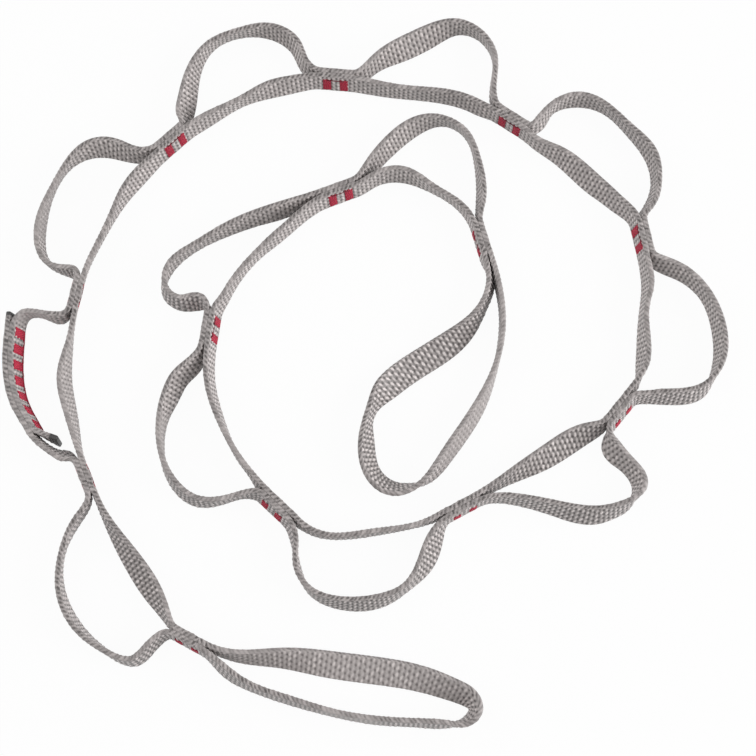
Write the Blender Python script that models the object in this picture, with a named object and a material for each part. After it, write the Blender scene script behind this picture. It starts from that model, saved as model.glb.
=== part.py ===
"""Climbing daisy chain, laid out in a spiral of two turns on the ground.

One strip of flat webbing is closed into a ring, laid as two strands and sewn face to face at thirteen
tacks. That leaves twelve pockets, each with a short inner strand and a long outer one, and a loop at
each end. The webbing stands on its edge at the tacks and turns towards the flat in some strands.

The chain flexes at its tacks. Each tack has one hinge, on the edge that faces away from the pocket
in the middle of the chain, and that pocket carries the rest.

Lengths are in millimetres and angles in degrees, as drawn; MM turns them into metres.
"""

import math

import bpy
import numpy as np

MM = 0.001

# Webbing
WEB_WIDTH = 12.0
WEB_THICKNESS = 2.4
WEB_BEVEL = 0.5
LAYER_GAP = 0.3

# Tacks: two bars of thread through both layers
TACK_LENGTH = 14.0
BAR_SPACING = 7.4
BAR_WIDTH = 2.6
BAR_EDGE = 1.2
BAR_NECK = 1.6
THREAD_HEIGHT = 0.5
THREAD_GAP = 0.3
JUMP_THREAD_WIDTH = 0.8
JUMP_THREAD_DEPTH = 0.4

# Splice: one row of wider bars
SPLICE_BARS = 7
SPLICE_BAR_SPACING = 7.0
SPLICE_BAR_WIDTH = 3.4
SPLICE_FIRST_BAR = 2.4
SPLICE_BAR_EDGE = 1.6

# Hinges: the end faces are cut back for the range on each side
HINGE_GAP = 0.3
MITRE_SPARE = 3.0

# Sections along a strand: how far apart, and how much bend or lean from one to the next
LONGEST_STEP = 9.0
SHORTEST_LAST_STEP = 1.5
LARGEST_TURN = 16.0
LEAN_SHARE = 0.6
SPLICE_STEP = 3.0
SPLICE_CONTROL_STEP = 4.0
FINE_STEP = 0.5
SHARP_EDGE = 35.0

WEBBING_COLOUR = (0.36, 0.33, 0.32, 1.0)
WEBBING_ROUGHNESS = 0.85
THREAD_COLOUR = (0.62, 0.03, 0.05, 1.0)
THREAD_ROUGHNESS = 0.6

# Each tack: x, y, heading along the chain, lean, and how far its hinge closes and opens the spiral
TACKS = {
    1: (-70.5, -117.5, 152.0, -11.0, 8.0, 30.0),
    2: (-115.5, -51.0, 113.0, -8.0, 4.0, 30.0),
    3: (-122.8, 27.5, 78.5, -14.0, 3.0, 30.0),
    4: (-83.5, 96.0, 43.0, 5.0, 3.0, 30.0),
    5: (-12.5, 124.6, -5.0, 7.0, 2.0, 25.0),
    6: (64.5, 105.0, -34.0, 0.0, 2.0, 18.0),
    7: (119.5, 52.0, -79.0, 5.0, 1.0, 10.0),
    8: (107.0, -23.5, -130.0, -14.0, 2.0, 6.0),
    9: (41.0, -63.5, -152.0, -6.0, 3.0, 6.0),
    10: (-36.5, -63.0, 137.0, -14.0, 4.0, 8.0),
    11: (-65.0, 12.0, 82.0, 9.0, 5.0, 5.0),
    12: (-10.8, 72.5, 21.0, 8.0, 6.0, 6.0),
    13: (50.5, 51.0, -74.0, 0.0, 20.0, 4.0),
}
MIDDLE_POCKET = (len(TACKS) + 1) // 2

# Middle of the layout, which becomes the part's own origin
LAY_MIDDLE = (-0.4, -0.5)

# Strand routes between the tacks: x, y and lean of the webbing, positive with its top to the left
INNER_ROUTES = {
    1: [(-80.2, -107.8, -20), (-87.4, -96.4, -46), (-94.5, -86, -43), (-105, -70, -18)],
    2: [(-121.2, -30, 4), (-123.2, -22.5, 10), (-126, -9, 12), (-125.4, 0, 2), (-124.4, 7, -8)],
    3: [(-114, 50, -13), (-107.4, 64.3, -5), (-104, 71, 4), (-97.5, 80, 12)],
    4: [(-68, 106.5, 4), (-60, 111.2, -4), (-52.5, 115.3, -5), (-40.5, 120.4, 12), (-32, 122.4, 12)],
    5: [(10.6, 119.8, 3), (18, 118.8, 1), (38, 116.3, 5), (46, 113.7, 6), (51.7, 110.9, 5)],
    6: [(74.2, 96, 0), (84, 90, 14), (100, 76, 24), (104.9, 71.7, 18), (109.6, 67.4, 13)],
    7: [(121, 30, 8), (119.7, 23.3, 3), (118.8, 17.3, 3), (118.5, 11, 8), (118.4, 4, 13),
        (117.6, -3.3, 11), (114.9, -11, -9)],
    8: [(93, -32.5, -36), (77.5, -41.5, -48), (60.5, -51, -18)],
    9: [(28, -68.6, -2), (21.6, -70.7, 2), (7.2, -73.3, -1), (-0.2, -74.4, -2), (-14, -75.2, -1),
        (-20.2, -73.7, -4), (-26, -70.4, -8)],
    10: [(-46, -50.5, -6), (-51, -44, -4), (-60.5, -25.5, 5), (-65, -9, 9)],
    11: [(-60, 24.5, 4), (-57, 30, 1), (-49.2, 41.1, -2), (-44.6, 46, -1), (-38.8, 51.4, 4),
         (-33.5, 56.1, 5)],
    12: [(5, 79, 8), (16, 81, 12), (30, 74.5, -5), (41, 67, -4)],
}
OUTER_ROUTES = {
    1: [(-84.6, -118.3, -12), (-92.6, -125.6, -13), (-104, -122, -6), (-117, -111, 3), (-124, -96, -3),
        (-123.2, -80, -8), (-117, -67, -2)],
    3: [(-129.8, 38.3, 0), (-137.5, 44.2, 2), (-139.3, 56, 3), (-135, 73.5, -12), (-125, 89, 0),
        (-118, 92.8, 18), (-111, 93.3, 26), (-103.9, 91.3, 21), (-98, 89.8, 12)],
    4: [(-78.6, 107.7, 24), (-78, 113.3, 30), (-75.5, 127, 16), (-67.5, 141, -6), (-55, 146.8, -10),
        (-41, 147.3, 7), (-30.2, 140, 14), (-25.6, 130.5, 10)],
    5: [(3.5, 131, 11), (16, 139, 36), (30, 146, 32), (42, 149.5, 4), (52, 145, -7),
        (57.5, 135, -5), (56.5, 120, 1)],
    6: [(76, 104, 11), (81.5, 110.8, 4), (92, 115.3, 6), (104, 112.4, -3), (115.8, 101.4, -3),
        (124.8, 89.5, 8), (126.5, 77, 5), (122.6, 66, 10)],
    7: [(127.3, 40.8, 13), (135.9, 36.7, 12), (144.8, 28.3, 4), (150.3, 14, 9), (150.2, -1, 7),
        (147.4, -8, -3), (142.7, -14, -18), (130, -17, -19), (123.5, -17, -16), (117.8, -17.3, -11)],
    8: [(103, -37.5, 25), (109, -45, 22), (114.5, -54, 17), (109.5, -62, -13), (103.2, -65, -22),
        (97, -66.5, -29), (80, -64, -21), (64, -60.3, -11)],
    9: [(30.5, -74, -24), (26.2, -84.9, -34), (17.5, -96, -10), (11.5, -99.8, -15), (5, -102, -21),
        (-9, -102.5, -18), (-21.5, -97.5, -7), (-27.5, -86, 2), (-28.6, -76, -12)],
    10: [(-48, -58, -5), (-58, -60.4, -2), (-69, -60.8, -12), (-79, -53, -13), (-84.5, -39, -3),
         (-83.7, -24, 12), (-81, -16.2, 25), (-77.5, -9, 27), (-73, -4.5, 24)],
    11: [(-68.8, 23.8, -16), (-77, 23.5, -16), (-84.5, 28.5, -13), (-83.7, 38, -1), (-73.4, 47.9, -4),
         (-57.5, 56.8, 6), (-45, 61.8, 13), (-39, 63.7, 16)],
    12: [(1.5, 82.5, 14), (12, 95, 24), (24, 103.8, 16), (34.5, 105.5, -5), (44.5, 99.5, -8),
         (49, 88, -1), (50.7, 74, 9), (50.2, 66.5, 8)],
}
OUTER_LOOP_ROUTE = [
    (-52, -123.5, 18), (-33, -124.5, 39), (-14, -127, 64), (5, -129.5, 69), (23.5, -132.8, 60),
    (37.7, -137.6, 45), (42.6, -140.2, 36), (45.2, -144.4, 19), (41.6, -149.3, 8), (34.8, -150.5, -8),
    (21, -149.9, -12), (8, -149.2, -12), (-12, -146, -10), (-31, -140.7, -13), (-46.3, -135.3, -14),
    (-52.4, -132, -18), (-57.2, -128.3, -18),
]
INNER_LOOP_ROUTE = [
    (54, 34, -12), (51.6, 24, -10), (44, 12.5, -32), (30, 2, -72), (15, -8, -72), (8.9, -13.8, -50),
    (4.6, -19.8, -20), (1.9, -26.7, -12), (1.2, -34, -25), (3.5, -48.5, -32), (7.6, -53.4, -33),
    (13, -55.7, -28), (19.5, -55.1, -15), (24.5, -53, 1), (34.5, -42, 21), (42.2, -31.1, 23),
    (49.3, -19.5, 18), (54.6, -7, 6), (58.2, 8, 0), (58.6, 22, 1), (56.6, 34, 0),
]
SPLICED_POCKET = min(set(INNER_ROUTES) - set(OUTER_ROUTES))

# Splice: the line between its two layers, the way between each layer and its tack, and the two free ends
SPLICE_ROUTE = [
    (-137.3, -32, 2), (-144.2, -20.2, 5), (-147.3, -9, 8), (-148, 2, 10), (-147.6, 14, 9),
]
SPLICE_FROM_TACK_2 = [(-121.7, -43.2, 9), (-124.8, -41.9, 20), (-128, -40.8, 12), (-133, -37.9, 5)]
SPLICE_TO_TACK_3 = [(-143.7, 18.3, 1), (-138, 18.8, -3), (-133, 17.5, 3), (-129.8, 17, 6), (-126.6, 18.2, -3)]
SPLICE_INNER_TAIL = [(-126.9, -36.1, -8), (-132.4, -33.7, -2)]
SPLICE_OUTER_TAIL = [(-149, 18.6, 6)]


def radial(degrees):
    return np.array([math.cos(math.radians(degrees)), math.sin(math.radians(degrees))])


def left_of(degrees):
    return radial(degrees + 90)


def layer_offset(side, lean):
    """Distance on the ground of a layer from the middle of two: side 1 is the outer strand, -1 the inner."""
    return side * (WEB_THICKNESS + LAYER_GAP) / 2 / math.cos(math.radians(lean))


def tack_edge(number, end, side=0):
    """A row on a tack's edge, as x, y and lean: end -1 faces the outer end of the chain, 1 the inner end."""
    x, y, heading, lean = TACKS[number][:4]
    point = np.array([x, y]) + radial(heading) * end * TACK_LENGTH / 2
    return np.array([*(point + left_of(heading) * layer_offset(side, lean)), lean])


def hinge_end(number):
    """The edge that a tack bends at, which faces away from the middle pocket."""
    return -1 if number <= MIDDLE_POCKET else 1


def hinge_point(number):
    return tack_edge(number, hinge_end(number))[:2]


def mitre(number, side):
    """How far an end face is turned back, so that two of them meet at the hinge's limit."""
    closes, opens = TACKS[number][4:]
    return (opens if side > 0 else closes) / 2 + MITRE_SPARE / 2


def spline(points, start_slope, end_slope):
    """A smooth curve through the points with the given end slopes, over the way along their chords."""
    points = np.array(points, float)
    lengths = np.concatenate([[0], np.cumsum(np.linalg.norm(np.diff(points[:, :2], axis=0), axis=1))])
    spans = np.diff(lengths)
    count = len(points)
    matrix = np.zeros((count, count))
    right = np.zeros((count, points.shape[1]))
    matrix[0, 0] = matrix[-1, -1] = 1
    right[0], right[-1] = start_slope, end_slope
    for i in range(1, count - 1):
        before, after = spans[i - 1], spans[i]
        matrix[i, i - 1 : i + 2] = after, 2 * (before + after), before
        right[i] = 3 * (
            after * (points[i] - points[i - 1]) / before + before * (points[i + 1] - points[i]) / after
        )
    slopes = np.linalg.solve(matrix, right)

    def at(where):
        i = np.clip(np.searchsorted(lengths, where, side="right") - 1, 0, count - 2)
        span = spans[i][:, None]
        t = ((where - lengths[i]) / spans[i])[:, None]
        return (
            points[i] * (1 + 2 * t) * (1 - t) ** 2
            + points[i + 1] * t**2 * (3 - 2 * t)
            + slopes[i] * span * t * (1 - t) ** 2
            - slopes[i + 1] * span * t**2 * (1 - t)
        )

    return at, lengths[-1]


def chord_heading(first, second):
    return math.degrees(math.atan2(second[1] - first[1], second[0] - first[0]))


def flowing(points, start_heading=None, finish_heading=None):
    """Fine rows of x, y and lean through the points; an end without a heading follows its last two points."""
    if start_heading is None:
        start_heading = chord_heading(points[0], points[1])
    if finish_heading is None:
        finish_heading = chord_heading(points[-2], points[-1])
    at, length = spline(points, (*radial(start_heading), 0), (*radial(finish_heading), 0))
    return at(np.linspace(0, length, max(2, round(length / FINE_STEP))))


def headings_of(rows):
    steps = np.diff(rows[:, :2], axis=0)
    angles = np.unwrap(np.arctan2(steps[:, 1], steps[:, 0]))
    return np.degrees(np.concatenate([angles[:1], (angles[:-1] + angles[1:]) / 2, angles[-1:]]))


def spaced(rows, longest=LONGEST_STEP):
    """Rows far apart where the strand runs straight and close together where it bends or turns over."""
    headings = headings_of(rows)
    kept = [0]
    turned = travelled = 0.0
    for i in range(1, len(rows) - 1):
        turned += abs(headings[i] - headings[i - 1]) + LEAN_SHARE * abs(rows[i, 2] - rows[i - 1, 2])
        travelled += math.dist(rows[i, :2], rows[i - 1, :2])
        if turned >= LARGEST_TURN or travelled >= longest:
            kept.append(i)
            turned = travelled = 0.0
    last = len(rows) - 1
    if len(kept) > 2 and math.dist(rows[last, :2], rows[kept[-1], :2]) < SHORTEST_LAST_STEP:
        kept.pop()
    kept.append(last)
    return rows[kept]


def web_outline():
    """The webbing's section: an oblong with its corners cut, as thickness and height from its middle."""
    half_t, half_w = WEB_THICKNESS / 2, WEB_WIDTH / 2
    cut = WEB_BEVEL
    return [
        (-half_t, half_w - cut), (-half_t, cut - half_w), (cut - half_t, -half_w), (half_t - cut, -half_w),
        (half_t, cut - half_w), (half_t, half_w - cut), (half_t - cut, half_w), (cut - half_t, half_w),
    ]


def web_frame(heading, lean):
    """The directions along the webbing, through it to the left, and up its width."""
    along, left = np.array([*radial(heading), 0]), np.array([*left_of(heading), 0])
    cos, sin = math.cos(math.radians(lean)), math.sin(math.radians(lean))
    up = np.array([0, 0, 1])
    return along, left * cos - up * sin, left * sin + up * cos


def web_rise(lean):
    """Height of the webbing's middle when its lowest corner lies on the ground."""
    _, through, up = web_frame(0, lean)
    return -min((through * u + up * v)[2] for u, v in web_outline())


def web_section(x, y, heading, lean):
    _, through, up = web_frame(heading, lean)
    middle = np.array([x, y, web_rise(lean)])
    return [middle + through * u + up * v for u, v in web_outline()]


def cut_back(corners, number, heading, direction):
    """Turns an end face back from its tack's hinge: direction 1 moves it along the heading, -1 against it."""
    hinge = hinge_point(number)
    outwards = left_of(TACKS[number][2])
    along = np.array([*radial(heading), 0])
    turned = []
    for corner in corners:
        reach = (corner[:2] - hinge) @ outwards
        slope = math.tan(math.radians(mitre(number, reach)))
        turned.append(corner + along * direction * (HINGE_GAP / 2 + slope * abs(reach)))
    return turned


def material(name, colour, roughness):
    made = bpy.data.materials.new(name)
    made.use_nodes = True
    shader = made.node_tree.nodes["Principled BSDF"]
    shader.inputs["Base Color"].default_value = colour
    shader.inputs["Roughness"].default_value = roughness
    shader.inputs["Metallic"].default_value = 0.0
    return made


def place(obj, parent):
    """Hangs an object on a hinge's empty without moving it."""
    bpy.context.scene.collection.objects.link(obj)
    if parent:
        obj.parent = parent
        obj.matrix_parent_inverse = parent.matrix_world.inverted()


def mesh_object(name, points, faces, look, parent):
    mesh = bpy.data.meshes.new(name)
    origin = np.array([*LAY_MIDDLE, 0])
    mesh.from_pydata([tuple((np.array(p) - origin) * MM) for p in points], [], faces)
    mesh.materials.append(look)
    obj = bpy.data.objects.new(name, mesh)
    place(obj, parent)
    return obj


def web_strip(name, rows, start_tack, finish_tack, look, parent):
    """A strip of webbing along the rows. An end at a hinge names its tack, and a free end None."""
    rows = np.array(rows)
    headings = headings_of(rows)
    points = []
    for i, ((x, y, lean), heading) in enumerate(zip(rows, headings)):
        corners = web_section(x, y, heading, lean)
        if i == 0 and start_tack:
            corners = cut_back(corners, start_tack, heading, 1)
        if i == len(rows) - 1 and finish_tack:
            corners = cut_back(corners, finish_tack, heading, -1)
        points += corners
    count = len(web_outline())
    faces = [tuple(reversed(range(count)))]
    for row in range(len(rows) - 1):
        for k in range(count):
            a, b = row * count + k, row * count + (k + 1) % count
            faces.append((a, b, b + count, a + count))
    faces.append(tuple(range((len(rows) - 1) * count, len(rows) * count)))
    obj = mesh_object(name, points, faces, look, parent)
    obj.data.shade_smooth()
    obj.data.set_sharp_from_angle(angle=math.radians(SHARP_EDGE))
    return obj


def extruded(name, outline, reach, row, heading, look, parent):
    """An outline, as along and through the webbing from its middle at one row, carried across its width."""
    x, y, lean = row
    along, through, up = web_frame(heading, lean)
    middle = np.array([x, y, web_rise(lean)])
    flat = [middle + along * a + through * b for a, b in outline]
    count = len(flat)
    points = [p + up * reach[0] for p in flat] + [p + up * reach[1] for p in flat]
    faces = [tuple(reversed(range(count))), tuple(range(count, 2 * count))]
    faces += [(k, (k + 1) % count, (k + 1) % count + count, k + count) for k in range(count)]
    return mesh_object(name, points, faces, look, parent)


def box_outline(length, width, middle=(0, 0)):
    a, b = length / 2, width / 2
    return [(middle[0] + i * a, middle[1] + j * b) for i, j in ((-1, -1), (1, -1), (1, 1), (-1, 1))]


def bar_outline(width, neck, middle=0.0):
    """A bar of stitches from above: a neck through both layers and a pad of thread on each face."""
    face = WEB_THICKNESS + LAYER_GAP / 2 + THREAD_GAP
    outer = face + THREAD_HEIGHT
    half, half_neck = width / 2, neck / 2
    right_side = [
        (half, -outer), (half, -face), (half_neck, -face), (half_neck, face), (half, face), (half, outer),
    ]
    return [(middle + a, b) for a, b in right_side + [(-a, -b) for a, b in right_side]]


def helper(obj):
    obj.hide_render = True
    obj.display_type = "WIRE"
    return obj


def boolean(obj, other, operation):
    step = obj.modifiers.new(operation.title(), "BOOLEAN")
    step.operation = operation
    step.object = other


def bar_reach(edge, extra=0.0):
    half = WEB_WIDTH / 2 - edge + extra
    return -half, half


def slot_cutters(name, middles, neck, edge, row, heading, look):
    """The way that the bars' necks take through the layers, a little wider than the thread."""
    deep = 2 * (2 * WEB_THICKNESS + LAYER_GAP)
    wide = neck + 2 * THREAD_GAP
    reach = bar_reach(edge, THREAD_GAP)
    cutters = []
    for i, middle in enumerate(middles):
        outline = box_outline(wide, deep, (middle, 0))
        cutters.append(helper(extruded(f"{name}_{i + 1}", outline, reach, row, heading, look, None)))
    return cutters


def tack_stitches(number, look, parent):
    """Two bars of one tack, joined by the jump thread between them. Returns the cutters of their slots."""
    x, y, heading, lean = TACKS[number][:4]
    row = (x, y, lean)
    first, second = -BAR_SPACING / 2, BAR_SPACING / 2
    name = f"tack_{number:02d}_stitches"
    reach = bar_reach(BAR_EDGE)
    outline = bar_outline(BAR_WIDTH, BAR_NECK, first)
    stitches = extruded(name, outline, reach, row, heading, look, parent)
    outline = bar_outline(BAR_WIDTH, BAR_NECK, second)
    other = extruded(f"{name}_other", outline, reach, row, heading, look, None)
    thread_middle = WEB_THICKNESS + LAYER_GAP / 2 + THREAD_GAP + THREAD_HEIGHT / 2
    jump_outline = box_outline(BAR_SPACING, JUMP_THREAD_DEPTH, (0, -thread_middle))
    jump_reach = (reach[1] - 2 * JUMP_THREAD_WIDTH, reach[1] - JUMP_THREAD_WIDTH)
    jump = extruded(f"{name}_jump", jump_outline, jump_reach, row, heading, look, None)
    boolean(stitches, helper(jump), "UNION")
    boolean(stitches, helper(other), "UNION")
    return slot_cutters(f"{name}_slot", (first, second), BAR_NECK, BAR_EDGE, row, heading, look)


def pocket_hinge(number):
    """The tack whose hinge a pocket swings on, or None for the middle pocket."""
    if number == MIDDLE_POCKET:
        return None
    return number + 1 if number < MIDDLE_POCKET else number


def hinge_empties():
    """One empty on each hinge, each carried by the pocket before it on the way out from the middle."""
    empties = {None: None}
    outwards = sorted(TACKS, key=lambda number: abs(number - MIDDLE_POCKET - 0.5))
    for number in outwards:
        empty = bpy.data.objects.new(f"tack_{number:02d}_flex", None)
        empty.empty_display_size = WEB_WIDTH * MM
        empty.location = (*((hinge_point(number) - LAY_MIDDLE) * MM), 0)
        carrier = pocket_hinge(number if number <= MIDDLE_POCKET else number - 1)
        place(empty, empties[carrier])
        empties[number] = empty
        bpy.context.view_layer.update()
    return empties


def strand_rows(number, side, through):
    """A strand between two hinges, by way of each tack that its pocket carries."""
    start, finish = TACKS[number][2], TACKS[number + 1][2]
    flow = [tack_edge(number, 1, side), *through, tack_edge(number + 1, -1, side)]
    rows = spaced(flowing(flow, start, finish))
    if hinge_end(number) < 0:
        rows = np.vstack([tack_edge(number, -1, side), rows])
    if hinge_end(number + 1) > 0:
        rows = np.vstack([rows, tack_edge(number + 1, 1, side)])
    return rows


def carried_tacks(number):
    """The tacks on a pocket's own body: one, or two on the middle pocket."""
    return [tack for tack in (number, number + 1) if carrier_pocket(tack) == number]


def carrier_pocket(tack):
    return tack if tack <= MIDDLE_POCKET else tack - 1


def pierced(strand, cutters):
    for cutter in cutters:
        boolean(strand, cutter, "DIFFERENCE")


def pocket(number, empties, webbing, slots):
    """The inner and outer strand of one pocket."""
    parent = empties[pocket_hinge(number)]
    for label, side, routes in (("inner", -1, INNER_ROUTES), ("outer", 1, OUTER_ROUTES)):
        if side > 0 and number == SPLICED_POCKET:
            continue
        rows = strand_rows(number, side, routes[number])
        name = f"pocket_{number:02d}_{label}_strand"
        strand = web_strip(name, rows, number, number + 1, webbing, parent)
        for tack in carried_tacks(number):
            pierced(strand, slots[tack])


def splice_layer(middle, headings, side):
    """Rows of one layer of the splice, beside the line between the layers."""
    return [
        (*(row[:2] + left_of(heading) * layer_offset(side, row[2])), row[2])
        for row, heading in zip(middle, headings)
    ]


def splice(empties, webbing, thread):
    """The spliced outer strand: two webbing ends laid over each other and sewn by a row of bars."""
    parent = empties[pocket_hinge(SPLICED_POCKET)]
    first, second = SPLICED_POCKET, SPLICED_POCKET + 1
    middle = flowing(SPLICE_ROUTE)
    middle_headings = headings_of(middle)
    kept = slice(0, len(middle), round(SPLICE_CONTROL_STEP / FINE_STEP))
    inner = splice_layer(middle[kept], middle_headings[kept], -1)
    outer = splice_layer(middle[kept], middle_headings[kept], 1)

    flow = [tack_edge(first, 1, 1), *SPLICE_FROM_TACK_2, *outer, *SPLICE_OUTER_TAIL]
    rows = spaced(flowing(flow, start_heading=TACKS[first][2]), SPLICE_STEP)
    rows = np.vstack([tack_edge(first, -1, 1), rows])
    outer_end = web_strip("splice_outer_end", rows, first, None, webbing, parent)

    flow = [*SPLICE_INNER_TAIL, *inner, *SPLICE_TO_TACK_3, tack_edge(second, -1, 1)]
    rows = spaced(flowing(flow, finish_heading=TACKS[second][2]), SPLICE_STEP)
    inner_end = web_strip("splice_inner_end", rows, None, second, webbing, parent)

    travelled = np.concatenate([[0], np.cumsum(np.linalg.norm(np.diff(middle[:, :2], axis=0), axis=1))])
    for i in range(SPLICE_BARS):
        at = int(np.searchsorted(travelled, SPLICE_FIRST_BAR + i * SPLICE_BAR_SPACING))
        row, heading = middle[at], middle_headings[at]
        neck = SPLICE_BAR_WIDTH - (BAR_WIDTH - BAR_NECK)
        name = f"splice_bar_{i + 1}"
        outline = bar_outline(SPLICE_BAR_WIDTH, neck)
        extruded(name, outline, bar_reach(SPLICE_BAR_EDGE), row, heading, thread, parent)
        cutters = slot_cutters(f"{name}_slot", (0,), neck, SPLICE_BAR_EDGE, row, heading, thread)
        pierced(outer_end, cutters)
        pierced(inner_end, cutters)
    return outer_end


def end_loop(name, tack, route, empties, webbing):
    """One strip from the tack's inner layer round to its outer layer.

    Lean counts towards the left of travel, so it changes sign on the way that runs against the tack.
    """
    heading, end = TACKS[tack][2], hinge_end(tack)
    out, back = (heading, heading + 180) if end > 0 else (heading + 180, heading)
    inner, outer = tack_edge(tack, end, -1), tack_edge(tack, end, 1)
    against = inner if end < 0 else outer
    against[2] = -against[2]
    rows = spaced(flowing([inner, *route, outer], out, back))
    return web_strip(name, rows, tack, tack, webbing, empties[tack])


def clear_scene():
    for obj in list(bpy.data.objects):
        bpy.data.objects.remove(obj, do_unlink=True)


def main():
    clear_scene()
    webbing = material("webbing", WEBBING_COLOUR, WEBBING_ROUGHNESS)
    thread = material("thread", THREAD_COLOUR, THREAD_ROUGHNESS)
    empties = hinge_empties()
    slots = {}
    for number in TACKS:
        parent = empties[pocket_hinge(carrier_pocket(number))]
        slots[number] = tack_stitches(number, thread, parent)
    for number in INNER_ROUTES:
        pocket(number, empties, webbing, slots)
    pierced(splice(empties, webbing, thread), slots[SPLICED_POCKET])
    end_loop("outer_end_loop", min(TACKS), OUTER_LOOP_ROUTE, empties, webbing)
    end_loop("inner_end_loop", max(TACKS), INNER_LOOP_ROUTE, empties, webbing)


main()
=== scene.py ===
"""Dresses the frame of a climbing daisy chain in woven webbing and red bar tacks, as a Blender add-on.

The webbing is one strip, made here as pieces that meet under the stitches of the tacks. Each piece
carries the webbing's section along the same route as the solid that it stands for. The grains of the weave
and the single stitches are in the meshes.

Routes are in millimetres and degrees, as drawn; MM turns lengths into metres.
"""

import math

import bpy
import numpy as np
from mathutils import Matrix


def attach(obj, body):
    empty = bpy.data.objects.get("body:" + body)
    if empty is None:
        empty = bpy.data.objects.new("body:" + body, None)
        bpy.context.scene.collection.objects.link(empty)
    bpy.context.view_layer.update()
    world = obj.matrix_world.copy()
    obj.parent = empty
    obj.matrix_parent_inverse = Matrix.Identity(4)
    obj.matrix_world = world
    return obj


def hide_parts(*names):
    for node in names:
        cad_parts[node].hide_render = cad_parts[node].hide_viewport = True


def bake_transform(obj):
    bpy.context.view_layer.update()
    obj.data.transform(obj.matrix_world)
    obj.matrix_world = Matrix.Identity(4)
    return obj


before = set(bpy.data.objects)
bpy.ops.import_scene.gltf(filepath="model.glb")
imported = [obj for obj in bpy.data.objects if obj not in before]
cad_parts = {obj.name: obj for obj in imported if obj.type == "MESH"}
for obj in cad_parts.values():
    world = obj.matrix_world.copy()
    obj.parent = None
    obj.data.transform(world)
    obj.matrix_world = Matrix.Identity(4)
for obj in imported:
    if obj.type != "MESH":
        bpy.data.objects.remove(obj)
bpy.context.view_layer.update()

bl_info = {
    "name": "Daisy chain",
    "version": (1, 0, 0),
    "blender": (4, 5, 0),
    "location": "View3D > Sidebar > Daisy chain",
    "description": "Woven webbing, bar tacks and a plain stage for the daisy chain's frame",
    "category": "Object",
}

MM = 0.001

# Each tack: x, y, heading along the chain and lean
TACKS = {
    1: (-70.5, -117.5, 152.0, -11.0),
    2: (-115.5, -51.0, 113.0, -8.0),
    3: (-122.8, 27.5, 78.5, -14.0),
    4: (-83.5, 96.0, 43.0, 5.0),
    5: (-12.5, 124.6, -5.0, 7.0),
    6: (64.5, 105.0, -34.0, 0.0),
    7: (119.5, 52.0, -79.0, 5.0),
    8: (107.0, -23.5, -130.0, -14.0),
    9: (41.0, -63.5, -152.0, -6.0),
    10: (-36.5, -63.0, 137.0, -14.0),
    11: (-65.0, 12.0, 82.0, 9.0),
    12: (-10.8, 72.5, 21.0, 8.0),
    13: (50.5, 51.0, -74.0, 0.0),
}
# Strand routes between the tacks: x, y and lean of the webbing, positive with its top to the left
INNER_ROUTES = {
    1: [(-80.2, -107.8, -20), (-87.4, -96.4, -46), (-94.5, -86, -43), (-105, -70, -18)],
    2: [(-121.2, -30, 4), (-123.2, -22.5, 10), (-126, -9, 12), (-125.4, 0, 2), (-124.4, 7, -8)],
    3: [(-114, 50, -13), (-107.4, 64.3, -5), (-104, 71, 4), (-97.5, 80, 12)],
    4: [(-68, 106.5, 4), (-60, 111.2, -4), (-52.5, 115.3, -5), (-40.5, 120.4, 12), (-32, 122.4, 12)],
    5: [(10.6, 119.8, 3), (18, 118.8, 1), (38, 116.3, 5), (46, 113.7, 6), (51.7, 110.9, 5)],
    6: [(74.2, 96, 0), (84, 90, 14), (100, 76, 24), (104.9, 71.7, 18), (109.6, 67.4, 13)],
    7: [(121, 30, 8), (119.7, 23.3, 3), (118.8, 17.3, 3), (118.5, 11, 8), (118.4, 4, 13),
        (117.6, -3.3, 11), (114.9, -11, -9)],
    8: [(93, -32.5, -36), (77.5, -41.5, -48), (60.5, -51, -18)],
    9: [(28, -68.6, -2), (21.6, -70.7, 2), (7.2, -73.3, -1), (-0.2, -74.4, -2), (-14, -75.2, -1),
        (-20.2, -73.7, -4), (-26, -70.4, -8)],
    10: [(-46, -50.5, -6), (-51, -44, -4), (-60.5, -25.5, 5), (-65, -9, 9)],
    11: [(-60, 24.5, 4), (-57, 30, 1), (-49.2, 41.1, -2), (-44.6, 46, -1), (-38.8, 51.4, 4),
         (-33.5, 56.1, 5)],
    12: [(5, 79, 8), (16, 81, 12), (30, 74.5, -5), (41, 67, -4)],
}
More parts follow.
